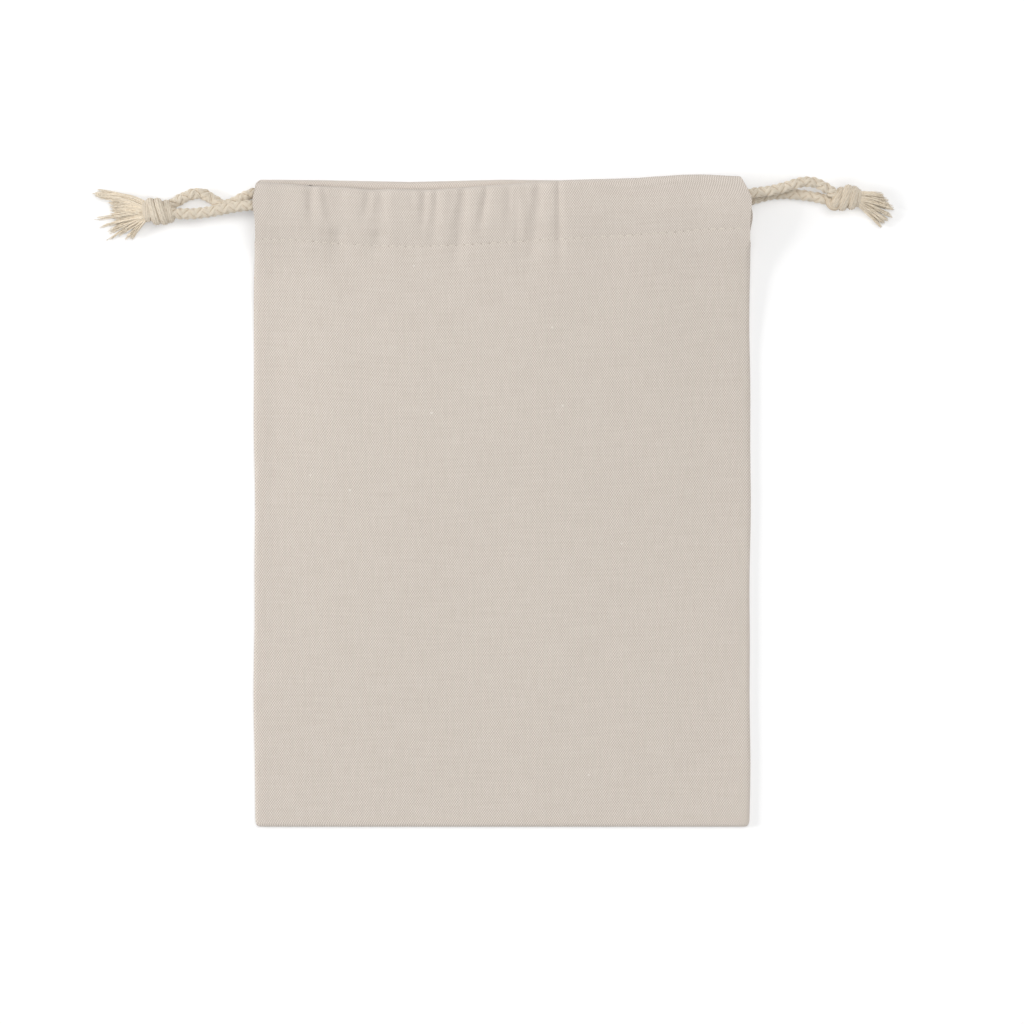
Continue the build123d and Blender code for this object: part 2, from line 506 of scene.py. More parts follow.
@dataclass(frozen=True)
class YarnFinish:
    """Soft cotton yarn on a tube: fine lines that wind along it. Chart runs round, then along in cm."""

    dark: Colour
    light: Colour
    lines: float = 7.0
    twist: float = 4.0
    # edge sets how far the flanks of each tube are darkened towards the next colour: painted shade where
    # strands lie against each other.
    edge: float = 0.0
    between: Colour = (0.48, 0.35, 0.21)
    bump_height: float = 0.00006

    def make(self, name: str) -> bpy.types.Material:
        """Builds the material.

        Args:
            name: The material's name.

        Returns:
            The yarn material.
        """
        nodes = Nodes(name)
        around, along, _ = nodes.chart()
        wound = nodes.math("MULTIPLY", around, self.lines)
        wound = nodes.math("ADD", wound, nodes.math("MULTIPLY", along, self.twist))
        drift = nodes.math("MULTIPLY", nodes.grain(nodes.place(), 900.0, 2.0), 1.6)
        phase = nodes.math("MULTIPLY", nodes.math("ADD", wound, drift), 2 * math.pi)
        line = nodes.math("ADD", nodes.math("MULTIPLY", nodes.math("SINE", phase), 0.5), 0.5)
        fuzz = nodes.grain(nodes.place(), 2600.0, 3.0, 0.7)
        patch = nodes.grain(nodes.place(), 160.0, 2.0)
        tone = nodes.math("ADD", nodes.math("MULTIPLY", line, 0.42), nodes.math("MULTIPLY", fuzz, 0.42))
        tone = nodes.math("ADD", tone, nodes.math("MULTIPLY", patch, 0.30), clamp=True)
        colour = nodes.tint(tone, self.dark, self.light)
        # Painted shade on the flanks of the tube, where neighbouring strands meet.
        if self.edge:
            flank = nodes.math("ABSOLUTE", nodes.math("COSINE", nodes.math("MULTIPLY", around, 2 * math.pi)))
            sunk = nodes.math("MULTIPLY", nodes.math("POWER", flank, 4.0), self.edge)
            colour = nodes.over(sunk, colour, self.between)
        nodes.wire(colour, nodes.shader.inputs["Base Color"])
        nodes.shader.inputs["Roughness"].default_value = 0.85
        nodes.shader.inputs["Specular IOR Level"].default_value = 0.2
        nodes.shader.inputs["Sheen Weight"].default_value = 0.15
        nodes.shader.inputs["Sheen Roughness"].default_value = 0.5
        nodes.bump(nodes.math("ADD", line, nodes.math("MULTIPLY", fuzz, 0.5)), self.bump_height, 0.8)
        return nodes.material


# ------------------------------------------------------------------------------- the cloth sack
@dataclass(frozen=True)
class Fold:
    """A soft valley in the casing, deepest at the lip and fading towards the stitch row or past it."""

    at: float
    depth: float
    width: float
    reach: float
    lean: float = 0.0

    def sink(self, x: float, below_lip: float) -> float:
        """Depth of the valley.

        Args:
            x: Place across the sack.
            below_lip: Distance from the lip towards the foot.

        Returns:
            How far the cloth sinks there, in millimetres.
        """
        offset = (x - self.at - self.lean * below_lip) / (self.width * (1 + 0.03 * below_lip))
        fade = 1 - smooth(self.reach * 0.35, self.reach, below_lip)
        return self.depth * math.exp(-offset * offset) * fade


@dataclass
class SackCloth:
    """Both layers of the sack: each is one sheet from the foot to the lip and down inside its casing."""

    half_width: float
    foot: float
    mouth: float
    stitch: float
    cloth: float = 0.6
    gather_foot: float = -75.0
    back_lane: float = 2.75
    front_lane: float = 9.0
    nose: float = 2.4
    crown: float = 3.8
    cord_room: float = 2.6
    casing_end: float = 83.0
    seam_level: float = 1.2
    seam_half: float = 0.26
    corner: float = 2.2
    seam_lift: float = 2.9
    roll: float = 1.3
    allowance: float = 8.0
    turned_end: float = 1.5
    swell_at: float = 121.5
    lips: dict[Lip, list[tuple[float, float]]] = field(default_factory=lambda: {
        Lip.FRONT: [(-100, 128.7), (-89, 128.0), (-77, 127.1), (-66, 126.8), (-53, 125.7), (-46, 126.1),
                    (-30, 125.7), (-15, 126.7), (-4, 127.6), (8, 128.4), (20, 129.5), (39, 130.0),
                    (56, 130.4), (66, 131.1), (77, 131.7), (85, 131.8), (100, 131.0)],
        Lip.BACK: [(-100, 130.2), (-77, 130.0), (-53, 129.5), (-38, 129.2), (-25, 129.5), (-8, 130.0),
                   (0, 130.2), (20, 130.0), (60, 129.6), (100, 129.2)]})
    rows: dict[Lip, list[tuple[float, float]]] = field(default_factory=lambda: {
        Lip.FRONT: [(-100, 106.5), (-84, 106.1), (-66, 104.6), (-49, 103.6), (-37, 103.3), (-20, 103.8),
                    (3, 105.1), (20, 106.3), (43, 107.4), (67, 109.0), (81, 110.3), (100, 110.8)],
        Lip.BACK: [(-100, 106.3), (0, 106.0), (100, 106.2)]})
    folds: tuple[Fold, ...] = (
        Fold(-77.0, 1.15, 1.7, 19, 0.05), Fold(-71.8, 0.80, 1.4, 15, 0.25), Fold(-66.6, 1.30, 2.3, 38, 0.02),
        Fold(-53.2, 1.00, 1.6, 16, -0.18), Fold(-48.6, 1.30, 2.2, 34, -0.05),
        Fold(-42.0, 0.30, 3.0, 44, 0.12),
        Fold(-36.8, 0.30, 1.4, 10, 0.1), Fold(-31.0, 1.10, 1.5, 20, -0.06), Fold(-26.2, 1.00, 1.5, 28, -0.08),
        Fold(-21.0, 0.25, 1.3, 9, 0.2), Fold(-15.2, 1.20, 1.8, 38, -0.10), Fold(-6.0, 1.00, 1.3, 22, -0.16),
        Fold(2.6, 0.65, 1.7, 24, 0.05), Fold(8.6, 0.35, 1.4, 13, 0.15), Fold(15.2, 1.05, 2.1, 44, -0.12),
        Fold(22.6, 0.85, 0.9, 40, 0.02), Fold(33.0, 0.18, 2.6, 26, 0.1), Fold(60.0, 0.22, 4.0, 30, -0.2))
    creases: tuple[Fold, ...] = (
        Fold(5.8, 0.40, 0.8, 44, 0.02), Fold(-64.0, 0.40, 5.0, 120, 0.12), Fold(48.0, 0.35, 6.0, 150, -0.15),
        Fold(-88.0, 0.45, 5.0, 230, 0.0), Fold(-35.0, 0.25, 4.0, 70, 0.05), Fold(80.0, 0.30, 5.0, 200, -0.05))

    def outline(self, lip: Lip, side: int, y: float) -> float:
        """Distance of a side edge from the middle, which swells where the cords come out.

        Args:
            lip: Front or back sheet.
            side: -1 for left and 1 for right.
            y: Place along the sack.

        Returns:
            The distance in millimetres.
        """
        swell = math.exp(-((y - self.swell_at) / 5.5) ** 2)
        wobble = 0.22 * math.sin(y / 21.0 + side) + 0.12 * math.sin(y / 8.3 + 2 * side)
        reach = self.half_width - 0.35 + wobble
        if lip is Lip.FRONT:
            reach += (0.9 if side < 0 else 0.7) * swell
            reach -= (0.019 if side < 0 else 0.036) * max(0.0, y - 120.5) ** 2
        else:
            reach += 0.4 * swell if side < 0 else 1.4 * math.exp(-((y - 116.0) / 5.0) ** 2)
            reach -= 0.40 * max(0.0, y - 128.0) ** 2 if side < 0 else 0.05 * max(0.0, y - 120.0) ** 2
        foot_gap = min(1.0, max(0.0, 1.0 - (y - self.foot) / self.corner))
        reach -= 0.35 * (1 - smooth(0.0, 45.0, y - self.foot))
        return reach - 0.7 * self.corner * (1 - math.sqrt(1 - foot_gap * foot_gap))

    def across(self) -> np.ndarray:
        """Column stations, closer together at the two side edges.

        Returns:
            Places from -1 to 1.
        """
        rim = EDGE_STATIONS / self.half_width
        core = np.linspace(-1 + 2.1 / self.half_width, 1 - 2.1 / self.half_width, 203)
        return np.concatenate([-1 + rim, core, (1 - rim)[::-1]])

    def down(self) -> list[tuple[float, float]]:
        """Row stations from the foot over the lip to the inner stitch row.

        Returns:
            Pairs of a nominal height, and the angle round the lip: 0 outside, 180 inside.
        """
        foot = self.foot + EDGE_STATIONS
        panel = np.linspace(self.foot + 2.4, self.stitch - 7.0, 112)
        row = np.linspace(self.stitch - 6.0, self.stitch + 6.0, 19)
        casing = np.linspace(self.stitch + 7.0, self.mouth - self.nose, 19)
        inner = np.linspace(self.mouth - self.nose, self.stitch - self.turned_end, 20)
        outer = [(float(y), 0.0) for y in np.concatenate([foot, panel, row, casing])]
        turn = [(self.mouth - self.nose, 180.0 * step / 9) for step in range(1, 9)]
        return outer + turn + [(float(y), 180.0) for y in inner]

    def warp(self, lip: Lip, x: float, nominal: float) -> float:
        """Real place of a nominal row, as the lip and the stitch row rise and dip across the sack.

        Args:
            lip: Front or back sheet.
            x: Place across the sack.
            nominal: The row's place on a straight sack.

        Returns:
            Its y in millimetres.
        """
        row = through(self.rows[lip], x)
        if nominal <= self.stitch:
            return self.foot + (nominal - self.foot) * (row - self.foot) / (self.stitch - self.foot)
        lip_y = through(self.lips[lip], x)
        return row + (nominal - self.stitch) * (lip_y - row) / (self.mouth - self.stitch)

    def rolled(self, lip: Lip, x: float, y: float) -> float:
        """How far the cloth turns in at the sewn edges.

        Args:
            lip: Front or back sheet.
            x: Place across the sack.
            y: Place along it.

        Returns:
            0 inside the sack and 1 right at the edge.
        """
        from_side = max(0.0, self.outline(lip, -1 if x < 0 else 1, y) - abs(x))
        from_foot = y - self.foot
        side = math.sqrt(max(0.0, 1 - (1 - min(1.0, from_side / self.roll)) ** 2))
        foot = math.sqrt(max(0.0, 1 - (1 - min(1.0, from_foot / self.roll)) ** 2))
        open_slit = smooth(self.stitch - 6, self.stitch, y)
        return (1 - side) * (1 - open_slit) + (1 - foot) - (1 - side) * (1 - foot) * (1 - open_slit)

    def relief(self, lip: Lip, x: float, y: float) -> float:
        """Folds, creases and the slow waviness of cloth that was folded for storage.

        Args:
            lip: Front or back sheet.
            x: Place across the sack.
            y: Place along it.

        Returns:
            How far they raise the cloth, in millimetres.
        """
        below_lip = through(self.lips[lip], x) - y
        inward = smooth(0.0, 9.0, self.half_width - abs(x)) * smooth(0.0, 9.0, y - self.foot)
        slow = noise.noise(Vector((x / 46, y / 60, 3.1 if lip is Lip.FRONT else 8.4)))
        fast = noise.noise(Vector((x / 15, y / 19, 5.7 if lip is Lip.FRONT else 1.2)))
        wave = (0.55 * slow + 0.12 * fast) * inward
        if lip is Lip.BACK:
            return 0.3 * wave
        sunk = sum(fold.sink(x, below_lip) for fold in self.folds)
        sunk += sum(crease.sink(x, below_lip) for crease in self.creases) * inward
        return wave - sunk

    def outer_level(self, lip: Lip, x: float, y: float) -> float:
        """Level of the middle of the outer ply, before folds.

        Args:
            lip: Front or back sheet.
            x: Place across the sack.
            y: Place along it.

        Returns:
            The level in millimetres.
        """
        seam = self.seam_level + self.seam_lift * smooth(55.0, self.stitch, y)
        if lip is Lip.BACK:
            shut = 1 - smooth(self.stitch + 1, self.stitch + 11, y)
            reach = self.outline(lip, -1 if x < 0 else 1, y)
            near = smooth(reach - 9.0, reach, abs(x)) ** 1.5
            turned = self.seam_level - self.cloth / 2 - self.seam_half
            lift = turned * self.rolled(lip, x, y) + (seam - self.seam_level) * near * shut
            return self.cloth / 2 + lift
        above_row = y - through(self.rows[lip], x)
        rise = 2.6 + 8.6 * max(0.0, min(1.0, (y - self.foot) / (self.stitch - self.foot))) ** 1.5
        top = self.front_lane + self.crown
        crown = rise + (top - rise) * smooth(-1.0, 11.0, above_row)
        rim = seam + 1.25
        edge = rim + (top - rim) * smooth(self.stitch - 17.0, self.stitch + 15.0, y)
        dome = 1 - (abs(x) / self.half_width) ** 2.4
        level = edge + (crown - edge) * dome
        return level - (level - seam - self.seam_half) * self.rolled(lip, x, y)

    def inner_level(self, lip: Lip, x: float, y: float) -> float:
        """Level of the middle of a casing's inner ply, which lies under the cords.

        Args:
            lip: Front or back sheet.
            x: Place across the sack.
            y: Place along it.

        Returns:
            The level in millimetres.
        """
        above_row = y - through(self.rows[lip], x)
        if lip is Lip.BACK:
            low = self.cloth * 1.6
            return low + (self.back_lane + self.nose - low) * smooth(0.0, 10.0, above_row)
        lane_floor = self.front_lane - self.nose
        outer = self.outer_level(lip, x, y) - self.cloth - 0.05
        gap = lane_floor - outer
        return outer + min(0.0, gap) if abs(gap) > 0.6 else outer - (0.6 - gap) ** 2 / 2.4

    def point(self, lip: Lip, share: float, nominal: float, angle: float) -> Point:
        """Place of one point of a sheet.

        Args:
            lip: Front or back sheet.
            share: Place across, from -1 to 1.
            nominal: Nominal height of the row.
            angle: Angle round the lip in degrees.

        Returns:
            The point in millimetres.
        """
        x = share * self.half_width
        y = self.warp(lip, x, nominal)
        lane = self.front_lane if lip is Lip.FRONT else self.back_lane
        around = math.radians(angle)
        fade, drawn_in = (4.0, 0.8) if lip is Lip.FRONT else (9.0, 0.1)
        inside = smooth(0.0, fade, self.mouth - self.nose - nominal) * (angle == 180.0)
        edge = self.outline(lip, -1 if share < 0 else 1, y + self.nose * math.sin(around))
        edge += (self.casing_end - edge) * (drawn_in * smooth(60, 180, angle) + (1 - drawn_in) * inside)
        x = share * edge
        outside, within = self.outer_level(lip, x, y), self.inner_level(lip, x, y)
        relief = self.relief(lip, x, y)
        row = through(self.rows[lip], x)
        if angle == 0.0 and lip is Lip.FRONT:
            level = outside + relief
            taut = level - self.front_lane - self.cord_room
            if taut < 0.4:
                level += (0.4 * math.exp(taut / 0.4 - 1) - taut) * smooth(3.0, 9.0, y - row)
            level -= 0.22 * math.exp(-((y - row) / 0.9) ** 2)
        elif angle == 0.0:
            level = outside + relief * (nominal > self.stitch)
        elif angle == 180.0:
            level = within + relief * (1 - 0.65 * inside)
        else:
            drop = squared(math.cos(around), 0.55)
            high = self.crown if lip is Lip.FRONT and angle < 90 else self.nose
            sag = max(relief, self.cord_room - self.crown + 0.15) if lip is Lip.FRONT else relief
            level = lane + drop * high * (1 if lip is Lip.FRONT else -1) + sag
        return x, y + self.nose * max(0.0, math.sin(around)) ** 0.75, level

    def sheet(self, lip: Lip) -> bpy.types.Object:
        """One layer of the sack, with its real thickness.

        Args:
            lip: Front or back.

        Returns:
            The sheet.
        """
        loom = Loom(f"{lip.value}_cloth")
        across, down = self.across(), self.down()
        lengths = [0.0]
        for (y0, a0), (y1, a1) in zip(down, down[1:]):
            lengths.append(lengths[-1] + abs(y1 - y0) + self.nose * math.radians(a1 - a0))

        def place(column: int, row: int) -> Point:
            """The sheet's point at a column and row."""
            return self.point(lip, across[column], *down[row])

        def chart(column: int, row: int) -> tuple[float, float]:
            """Millimetres of flat cloth."""
            return across[column] * self.half_width, lengths[row]

        loom.lay(len(across) - 1, len(down) - 1, place, chart)
        return loom.finish(self.cloth)

    def surface(self, lip: Lip, x: float, y: float) -> float:
        """Level of the outer ply's middle with its folds, at a place on the sack."""
        return self.outer_level(lip, x, y) + self.relief(lip, x, y)

    def stitches(self, lip: Lip, thread: float = 0.17) -> bpy.types.Object:
        """The lockstitch row under a casing: a short length of thread at each stitch.

        Args:
            lip: Front or back.
            thread: The thread's radius.

        Returns:
            The row of stitches.
        """
        loom = Loom(f"{lip.value}_stitches")
        random.seed(11 if lip is Lip.FRONT else 12)
        count = int((2 * self.half_width - 5) / STITCH_PITCH)
        half = 0.46 * STITCH_PITCH
        for number in range(count):
            middle = (number - (count - 1) / 2) * STITCH_PITCH
            slack = random.uniform(-0.04, 0.05)
            points = []
            for offset in np.linspace(-half, half, 9):
                x = middle + offset
                y = through(self.rows[lip], x) + random.uniform(-0.02, 0.02)
                dip = abs(offset / half) ** 3
                if lip is Lip.FRONT:
                    level = self.surface(lip, x, y) - 0.22 + self.cloth / 2 - 0.05 + slack - 0.45 * dip
                else:
                    level = self.inner_level(lip, x, y) + self.cloth / 2 + 0.12 - 0.5 * dip
                points.append((x, y, level))
            loom.tube(np.array(points), np.full(9, thread), 6)
        return loom.finish()

    def plies(self, loom: Loom, wide: tuple[float, float], long: tuple[float, float], rows: int,
              lie: Callable[[float, float], tuple[float, float]]) -> None:
        """Adds the two flat plies of a seam allowance.

        Args:
            loom: Where they are added.
            wide: The allowance's two edges, across the seam.
            long: Its two ends, along the seam.
            rows: Faces along it.
            lie: Gives x and y of a place across and along the seam.
        """
        middle, half = (wide[0] + wide[1]) / 2, (wide[1] - wide[0]) / 2
        for level in PLY_LEVELS:

            def place(column: int, row: int, level: float = level) -> Point:
                """A point on one ply's skin, which is a flat closed tube.

                Args:
                    column: Face round the tube.
                    row: Row along it.
                    level: Level of the ply's middle.

                Returns:
                    The point in millimetres.
                """
                along = long[0] + (long[1] - long[0]) * min(max(row - 1, 0), rows) / rows
                if row in (0, rows + 2):
                    return *lie(middle, along), level
                turn = 2 * math.pi * column / PLY_SIDES
                across = middle + half * squared(math.cos(turn), 0.25)
                return *lie(across, along), level + PLY_HALF * squared(math.sin(turn), 0.5)

            loom.lay(PLY_SIDES, rows + 2, place, lambda column, row: (column * 1.2, row * 2.0))

    def overlock(self, loom: Loom, edge: float, swing: float, long: tuple[float, float],
                 lie: Callable[[float, float], tuple[float, float]]) -> None:
        """Adds a zigzag of thread over the raw edge of both plies.

        Args:
            loom: Where it is added.
            edge: The middle of the zigzag, across the seam.
            swing: How far its first stitch lies from there, with its sign.
            long: Its two ends, along the seam.
            lie: Gives x and y of a place across and along the seam.
        """
        low, high = long
        beats = 4 * int((high - low) / OVERLOCK_PITCH)
        points = []
        for beat in range(beats + 1):
            across = edge + swing * math.cos(beat * math.pi / 2)
            level = 1.28 + 0.72 * abs(math.sin(beat * math.pi / 4))
            points.append((*lie(across, low + (high - low) * beat / beats), level))
        loom.tube(np.array(points), np.full(len(points), 0.2), 5)

    def side_seam(self, side: Side) -> bpy.types.Object:
        """The seam allowance inside one side: two plies with an overlocked raw edge.

        Args:
            side: Left or right.

        Returns:
            The seam.
        """
        loom = Loom(f"{side.word}_seam_allowance")
        top = self.stitch - 1.0
        outer, inner = self.half_width - 1.6, self.half_width - self.allowance

        def lie(across: float, along: float) -> tuple[float, float]:
            """Across the seam is along X, out to this side."""
            return side.value * across, along

        self.plies(loom, (inner, outer), (self.foot + 1.6, top), 118, lie)
        self.overlock(loom, inner, -1.1, (self.foot + 2.0, top - 0.5), lie)
        return loom.finish()

    def foot_seam(self) -> bpy.types.Object:
        """The seam allowance inside the foot, between the two side seams.

        Returns:
            The seam.
        """
        loom = Loom("foot_seam_allowance")
        half = self.half_width - self.allowance - 0.4
        low, high = self.foot + 1.6, self.foot + self.allowance

        def lie(across: float, along: float) -> tuple[float, float]:
            """Across the seam is along Y."""
            return along, across

        self.plies(loom, (low, high), (-half, half), 92, lie)
        self.overlock(loom, high - 0.2, 1.1, (-half, half), lie)
        return loom.finish()

    def gather(self, piece: bpy.types.Object) -> None:
        """Bakes the piece's placement into its mesh.

        Args:
            piece: The finished piece.
        """
        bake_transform(piece)


# ------------------------------------------------------------------------------- the cords
@dataclass
class CordFinishes:
    """The materials that both cords are made of."""

    braid: bpy.types.Material
    heart: bpy.types.Material
    knot: bpy.types.Material
    fringe: bpy.types.Material

    @classmethod
    def make(cls) -> "CordFinishes":
        """Builds the four materials.

        Returns:
            The finishes.
        """
        loose = YarnFinish((0.64, 0.52, 0.36), (0.96, 0.885, 0.76), lines=3.0, twist=6.0)
        return cls(
            # edge=0.62 paints shade on the flanks of the braid's strands and of the knot's yarns.
            braid=YarnFinish((0.54, 0.455, 0.335), (0.91, 0.845, 0.74), edge=0.62).make("braided_cotton"),
            knot=YarnFinish((0.44, 0.365, 0.265), (0.89, 0.815, 0.70), edge=0.62).make("knotted_cotton"),
            # heart is the braid's core, a dark brown that is painted shade seen in the gaps between strands.
            heart=YarnFinish((0.34, 0.235, 0.13), (0.50, 0.375, 0.24)).make("braid_core_painted_shade"),
            fringe=loose.make("unlaid_yarn"))


@dataclass
class Drawcord:
    """One braided cord: out of its slit as two ends, round through both casings, with knot and tassel.

    The ends are points out from the side edge, up from the mouth, and above the surface. A wrap of the
    knot has its offset, reach, thickness and tilt. A lock of the tassel has its tip's distance out and
    shift up from the knot, its bow, the spread at its tip and how many yarns it holds. A heart is a
    full bunch under the locks, with its reach, its shift up and its width. The root is the radius of
    the yarn where it leaves the knot.
    """

    side: Side
    sack: SackCloth
    lanes: tuple[float, float]
    front_end: list[Point]
    back_end: list[Point]
    knot_at: Point
    wraps: list[tuple[float, float, float, float]]
    locks: list[Lock]
    hearts: list[Point]
    root: float
    diameter: float = 4.0
    join: float = 94.0
    turn: float = 97.2
    lay: float = 10.8
    fullness: float = 1.1
    yarn: float = 0.31
    yarn_gap: float = 0.47
    core: float = 1.34
    weave: float = 0.30
    flattened: float = 0.88

    def route(self) -> list[Point]:
        """Control points of the whole cord, from the knot in along the front and back out below.

        Returns:
            The points in millimetres.
        """
        s = self.side.value
        front, back = self.lanes
        high, low = self.sack.front_lane, self.sack.back_lane
        loop = [
            (s * self.join, front, high), (s * 72.0, front, high), (s * 36.0, front + 0.4, high),
            (s * -2.0, front - 0.4, high), (s * -40.0, front + 0.3, high), (s * -72.0, front, high),
            (s * -self.turn, front, high - 0.02), (s * -self.turn, back, low + 0.02),
            (s * -72.0, back, low), (s * -40.0, back - 0.3, low), (s * -2.0, back + 0.4, low),
            (s * 36.0, back - 0.4, low), (s * 72.0, back, low), (s * self.join, back, low)]
        edge, mouth = self.sack.half_width, self.sack.mouth
        front_out = [(s * (edge + out), mouth + up, z) for out, up, z in self.front_end]
        back_out = [(s * (edge + out), mouth + up, z) for out, up, z in self.back_end]
        return front_out[::-1] + loop + back_out

    def line(self) -> np.ndarray:
        """Centreline of the cord, read from a spline that the route's points control.

        Returns:
            Points in millimetres at an even spacing, one per row.
        """
        curve = bpy.data.curves.new(f"{self.side.word}_cord_line", "CURVE")
        curve.dimensions = "3D"
        spline = curve.splines.new("NURBS")
        points = self.route()
        spline.points.add(len(points) - 1)
        for point, spot in zip(spline.points, points):
            point.co = (*(value * MM for value in spot), 1)
        spline.order_u = 3
        spline.use_endpoint_u = True
        spline.resolution_u = 24
        holder = bpy.data.objects.new(curve.name, curve)
        bpy.context.scene.collection.objects.link(holder)
        bpy.context.view_layer.update()
        drawn = holder.evaluated_get(bpy.context.evaluated_depsgraph_get())
        plain = bpy.data.meshes.new_from_object(drawn)
        dense = np.array([vertex.co for vertex in plain.vertices]) / MM
        bpy.data.objects.remove(holder)
        bpy.data.curves.remove(curve)
        bpy.data.meshes.remove(plain)
        keep = np.concatenate([[True], np.linalg.norm(np.diff(dense, axis=0), axis=1) > 1e-6])
        dense = dense[keep]
        run = np.concatenate([[0.0], np.cumsum(np.linalg.norm(np.diff(dense, axis=0), axis=1))])
        even = np.linspace(0, run[-1], int(run[-1] / 0.6))
        return np.stack([np.interp(even, run, dense[:, axis]) for axis in range(3)], axis=1)

    def braid(self) -> tuple[list[bpy.types.Object], list[np.ndarray]]:
        """Braids eight strands round the line and cuts them where the cord enters the casing.

        Returns:
            The front end, loop and back end, and the centreline of each in millimetres.
        """
        line = self.line()
        _, across, up = carried_frames(line)
        run = np.concatenate([[0.0], np.cumsum(np.linalg.norm(np.diff(line, axis=0), axis=1))])
        inside = np.flatnonzero(self.side.value * line[:, 0] <= self.join)
        first, last = inside[0], inside[-1]
        cuts = [(0, first), (first, last), (last, len(line) - 1)]
        names = [f"{self.side.word}_{part}_braid" for part in ("front_end", "loop", "back_end")]
        weave = np.cos(4 * math.pi * run / self.lay + math.pi / 4)
        swell = [smooth(self.join, self.sack.half_width + 4.0, self.side.value * x) for x in line[:, 0]]
        width = 1 + (self.fullness - 1) * np.array(swell)
        pieces, lines = [], []
        for (start, stop), name in zip(cuts, names):
            loom = Loom(name)
            part = slice(start, stop + 1)
            sides, step = (5, 2) if "loop" in name else (7, 1)
            for hand in (1, -1):
                radius = (width * (self.core + hand * self.weave * weave))[part]
                for number in range(4):
                    angle = hand * 2 * math.pi * run[part] / self.lay + number * math.pi / 2
                    offset = np.cos(angle)[:, None] * across[part] + np.sin(angle)[:, None] * up[part]
                    path = line[part] + offset * radius[:, None]
                    ahead, _, _ = carried_frames(path)
                    beside = np.cross(ahead, offset)
                    for yarn in (-1, 0, 1):
                        shift = beside * yarn * self.yarn_gap + offset * (0.10 - 0.22 * abs(yarn))
                        row = path + shift * width[part][:, None]
                        kept = np.unique(np.append(np.arange(0, len(row), step), len(row) - 1))
                        loom.tube(row[kept], self.yarn * width[part][kept], sides, 1.25, offset[kept])
            # The core takes the second material, a dark brown that is painted shade between the strands.
            loom.ink = 1
            loom.tube(line[part], self.core * width[part], 8)
            pieces.append(loom.finish())
            lines.append(line[part])
        return pieces, lines

    def knot(self) -> bpy.types.Object:
        """The overhand knot: wraps of cord round the ends, over a full core.

        Returns:
            The knot.
        """
        loom = Loom(f"{self.side.word}_knot_wraps")
        cx, cy, cz = self.knot_at
        for offset, reach, thick, tilt in self.wraps:
            turn = np.linspace(-2.6, -2.6 + 2 * math.pi * 1.1, 60)
            slope = offset + tilt * reach * np.sin(turn) + 0.4 * (turn - turn[0]) / (2 * math.pi)
            tuck = np.minimum(1.0, np.minimum(turn - turn[0], turn[-1] - turn) / 0.9)
            ring = (reach + 0.12 * np.sin(2 * turn + offset)) * (0.5 + 0.5 * tuck)
            level = cz + self.flattened * ring * np.cos(turn)
            points = np.stack([cx + slope, cy + ring * np.sin(turn), level], axis=1)
            loom.rope(points, thick * (0.75 + 0.25 * tuck), 11, 0.35)
        if self.side is Side.RIGHT:
            bend = np.linspace(-0.3, math.pi + 0.3, 30)
            lobe = np.stack([cx - 4.6 + 1.9 * np.cos(bend), cy - 1.4 - 2.2 * np.sin(bend),
                             cz - 0.4 + 0.9 * np.sin(bend)], axis=1)
            loom.rope(lobe, np.full(30, 1.6), 10, 0.3)
        steps = np.linspace(-5.6, 5.6, 15)
        spine = np.array([(cx + step, cy, cz) for step in steps])
        loom.tube(spine, 3.6 * np.sqrt(np.maximum(0.0, 1 - (steps / 6.6) ** 2)), 14)
        return loom.finish()

    def tassel(self) -> bpy.types.Object:
        """The unlaid yarn beyond the knot: locks of single yarns over full bunches.

        Returns:
            The tassel.
        """
        loom = Loom(f"{self.side.word}_tassel_yarns")
        random.seed(31 if self.side is Side.LEFT else 32)
        cx, cy, cz = self.knot_at
        s = self.side.value
        root = self.root
        steps = np.linspace(0, 1, 15)
        for reach, aim, wide in self.hearts:
            out = cx + s * (3.6 + reach * steps)
            spine = np.stack([out, cy + aim * steps, cz + (1.5 - cz) * steps], axis=1)
            girth = (root * 0.8 + (wide - root * 0.8) * steps) * np.sqrt(1 - 0.97 * steps ** 4)
            loom.tube(spine, girth, 14, 0.42, np.tile((0.0, 0.0, 1.0), (15, 1)))
        for out, shift, bow, spread, yarns in self.locks:
            aim = max(-1.0, min(1.0, shift / 9.0))
            for _ in range(yarns):
                turn, reach = random.uniform(0, 2 * math.pi), math.sqrt(random.random())
                start_y = root * (0.62 * reach * math.cos(turn) + 0.38 * aim)
                start_z = 2.5 * reach * math.sin(turn)
                length = min(1.06, random.gauss(0.97, 0.05))
                gather = random.gauss(0, spread)
                tip_x, tip_y = out * length, shift * length + gather
                floor = 0.35 + 3.2 * random.random() ** 1.4
                sway, phase = random.gauss(0, 0.22), random.uniform(0, 6.3)
                points = []
                for step in steps:
                    belly = bow * math.sin(math.pi * step ** 0.8)
                    x = 4.2 + (tip_x - 4.2) * step
                    y = start_y + (tip_y - start_y) * step ** 1.1 + belly
                    y += sway * math.sin(4.5 * step + phase) * step
                    z = cz + start_z * (1 - step) + (floor - cz) * smooth(0.0, 0.95, step)
                    points.append((cx + s * x, cy + y, max(0.26, z)))
                thick = random.uniform(0.16, 0.25) * (1 - 0.6 * steps ** 3)
                loom.tube(np.array(points), thick, 5)
        return loom.finish()


    def build(self, finishes: CordFinishes) -> None:
        """Makes the cord's pieces and fixes them to its body.

        Args:
            finishes: The materials of both cords.
        """
        word = self.side.word
        body = f"{word}_drawcord"
        ends, lines = self.braid()
        for piece, node in zip(ends, ("front_cord_end", "cord_loop", "back_cord_end")):
            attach(dress(piece, finishes.braid, "cord", f"{word}_{node}"), body)
            # Second material for the braid's core: painted shade between the strands.
            piece.data.materials.append(finishes.heart)
        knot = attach(dress(self.knot(), finishes.knot, "cord", f"{word}_knot"), body)
        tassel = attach(dress(self.tassel(), finishes.fringe, "fringe", f"{word}_tassel"), body)


